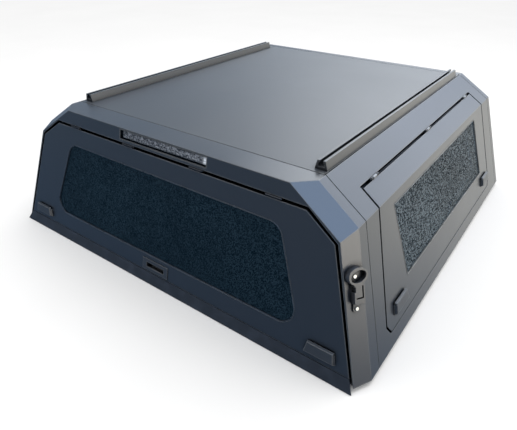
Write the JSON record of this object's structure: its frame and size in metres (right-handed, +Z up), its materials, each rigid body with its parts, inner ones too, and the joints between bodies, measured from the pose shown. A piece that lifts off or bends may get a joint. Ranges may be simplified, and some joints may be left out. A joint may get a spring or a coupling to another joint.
{
  "type": "pickup bed canopy",
  "caption": "Hard-shell pickup bed canopy: folded steel frames bolted together, lift-up rear glass door, gull-wing side doors on gas struts, roof rails and a clamp-down base.",
  "frame": {"origin": "centre of the clamp-hole pattern, in the plane of the steel base flange's underside, midway between the left and right sides", "axes": "+Z up, +Y forward towards the cab, +X to the canopy's right-hand side (seen from behind, looking forward)"},
  "size_m": [1.6, 1.536, 0.5358],
  "materials": {
    "coated_steel": "satin powder coat",
    "coated_fitting": "fine-texture powder coat",
    "coated_aluminium": "satin powder coat",
    "cast_opener": "satin black paint",
    "tinted_glass": "dark tint, polished",
    "seal_rubber": "matte EPDM",
    "light_housing": "moulded",
    "clear_lens": "clear ribbed lens",
    "plated_steel": "zinc plated",
    "black_fastener": "black oxide",
    "latch_metal": "dark zinc",
    "strut_tube": "gloss black",
    "strut_rod": "hard chrome"
  },
  "bodies": {
    "shell": {"rear_frame": "coated_steel", "front_frame": "coated_steel", "roof_panel": "coated_steel", "roof_bows": "coated_steel", "fitting_screws": "black_fastener", "frame_bolts": "black_fastener", "front_window_glass": "tinted_glass", "front_window_seal": "seal_rubber", "brake_light_housing": "light_housing", "brake_light_lens": "clear_lens", "brake_light_cable": "seal_rubber", "bottle_opener": "cast_opener", "base_gasket": "seal_rubber", "rear_opening_seal": "seal_rubber", "hinge_frame_leaves": "plated_steel", "hinge_pins": "plated_steel", "latch_strikers": "plated_steel", "strut_frame_brackets": "coated_fitting", "right_side_frame": "coated_steel", "left_side_frame": "coated_steel", "right_roof_rail": "coated_aluminium", "left_roof_rail": "coated_aluminium", "right_opening_seal": "seal_rubber", "left_opening_seal": "seal_rubber"},
    "rear_door": {"rear_door_panel": "coated_steel", "rear_door_glass": "tinted_glass", "rear_glass_seal": "seal_rubber", "rear_door_hinge_leaves": "plated_steel", "rear_door_lip_seal": "seal_rubber", "rear_door_pull": "coated_fitting", "rear_door_latches": "latch_metal", "rear_door_strut_brackets": "coated_fitting"},
    "rear_door_right_handle": {"rear_door_right_handle": "coated_fitting"},
    "rear_door_left_handle": {"rear_door_left_handle": "coated_fitting"},
    "rear_strut_tubes": {"rear_strut_tubes": "strut_tube"},
    "rear_strut_rods": {"rear_strut_rods": "strut_rod"},
    "right_door": {"right_door_panel": "coated_steel", "right_door_glass": "tinted_glass", "right_glass_seal": "seal_rubber", "right_door_hinge_leaves": "plated_steel", "right_door_latches": "latch_metal", "right_catch_plate": "plated_steel", "right_grab_bar": "coated_fitting", "right_door_strut_brackets": "coated_fitting"},
    "right_rear_handle": {"right_rear_handle": "coated_fitting"},
    "right_front_handle": {"right_front_handle": "coated_fitting"},
    "right_strut_tubes": {"right_strut_tubes": "strut_tube"},
    "right_strut_rods": {"right_strut_rods": "strut_rod"},
    "left_door": {"left_door_panel": "coated_steel", "left_door_glass": "tinted_glass", "left_glass_seal": "seal_rubber", "left_door_hinge_leaves": "plated_steel", "left_door_latches": "latch_metal", "left_catch_plate": "plated_steel", "left_grab_bar": "coated_fitting", "left_door_strut_brackets": "coated_fitting"},
    "left_rear_handle": {"left_rear_handle": "coated_fitting"},
    "left_front_handle": {"left_front_handle": "coated_fitting"},
    "left_strut_tubes": {"left_strut_tubes": "strut_tube"},
    "left_strut_rods": {"left_strut_rods": "strut_rod"}
  },
  "joints": [
    {"name": "rear_door_hinge", "type": "hinge", "parent": "shell", "child": "rear_door", "pos_m": [0, -0.6677, 0.44189], "axis": [-1, 0, 0], "range_deg": [0, 75]},
    {"name": "rear_strut_pivot", "type": "hinge", "parent": "shell", "child": "rear_strut_tubes", "pos_m": [0, -0.67377, 0.11619], "axis": [-1, 0, 0], "range_deg": [-28.28, 0]},
    {"name": "rear_strut_stroke", "type": "slide", "parent": "rear_strut_tubes", "child": "rear_strut_rods", "axis": [0, 0.1239, 0.9923], "range_m": [0, 0.08978]},
    {"name": "rear_right_handle_lift", "type": "hinge", "parent": "rear_door", "child": "rear_door_right_handle", "pos_m": [0.657, -0.7516, 0.07157], "axis": [-1, 0, 0], "range_deg": [0, 25]},
    {"name": "rear_left_handle_lift", "type": "hinge", "parent": "rear_door", "child": "rear_door_left_handle", "pos_m": [-0.657, -0.7516, 0.07157], "axis": [-1, 0, 0], "range_deg": [0, 25]},
    {"name": "right_door_hinge", "type": "hinge", "parent": "shell", "child": "right_door", "pos_m": [0.60962, 0, 0.44572], "axis": [0, -1, 0], "range_deg": [0, 75]},
    {"name": "right_strut_pivot", "type": "hinge", "parent": "shell", "child": "right_strut_tubes", "pos_m": [0.69649, 0, 0.12432], "axis": [0, -1, 0], "range_deg": [-17.2, 0]},
    {"name": "right_strut_stroke", "type": "slide", "parent": "right_strut_tubes", "child": "right_strut_rods", "axis": [-0.1805, 0, 0.9836], "range_m": [0, 0.13463]},
    {"name": "right_rear_handle_lift", "type": "hinge", "parent": "right_door", "child": "right_rear_handle", "pos_m": [0.7706, -0.466, 0.11236], "axis": [0, -1, 0], "range_deg": [0, 25]},
    {"name": "right_front_handle_lift", "type": "hinge", "parent": "right_door", "child": "right_front_handle", "pos_m": [0.7706, 0.53, 0.11236], "axis": [0, -1, 0], "range_deg": [0, 25]},
    {"name": "left_door_hinge", "type": "hinge", "parent": "shell", "child": "left_door", "pos_m": [-0.60962, 0, 0.44572], "axis": [0, 1, 0], "range_deg": [0, 75]},
    {"name": "left_strut_pivot", "type": "hinge", "parent": "shell", "child": "left_strut_tubes", "pos_m": [-0.69649, 0, 0.12432], "axis": [0, 1, 0], "range_deg": [-17.2, 0]},
    {"name": "left_strut_stroke", "type": "slide", "parent": "left_strut_tubes", "child": "left_strut_rods", "axis": [0.1805, 0, 0.9836], "range_m": [0, 0.13463]},
    {"name": "left_rear_handle_lift", "type": "hinge", "parent": "left_door", "child": "left_rear_handle", "pos_m": [-0.7706, -0.466, 0.11236], "axis": [0, 1, 0], "range_deg": [0, 25]},
    {"name": "left_front_handle_lift", "type": "hinge", "parent": "left_door", "child": "left_front_handle", "pos_m": [-0.7706, 0.53, 0.11236], "axis": [0, 1, 0], "range_deg": [0, 25]}
  ],
  "couplings": [
    {"joint": "rear_strut_pivot", "follows": "rear_door_hinge", "ratio": -0.37639},
    {"joint": "rear_strut_stroke", "follows": "rear_door_hinge", "m_per_rad": 0.068437},
    {"joint": "right_strut_pivot", "follows": "right_door_hinge", "ratio": -0.22863},
    {"joint": "right_strut_stroke", "follows": "right_door_hinge", "m_per_rad": 0.10269},
    {"joint": "left_strut_pivot", "follows": "left_door_hinge", "ratio": -0.22863},
    {"joint": "left_strut_stroke", "follows": "left_door_hinge", "m_per_rad": 0.10269}
  ]
}
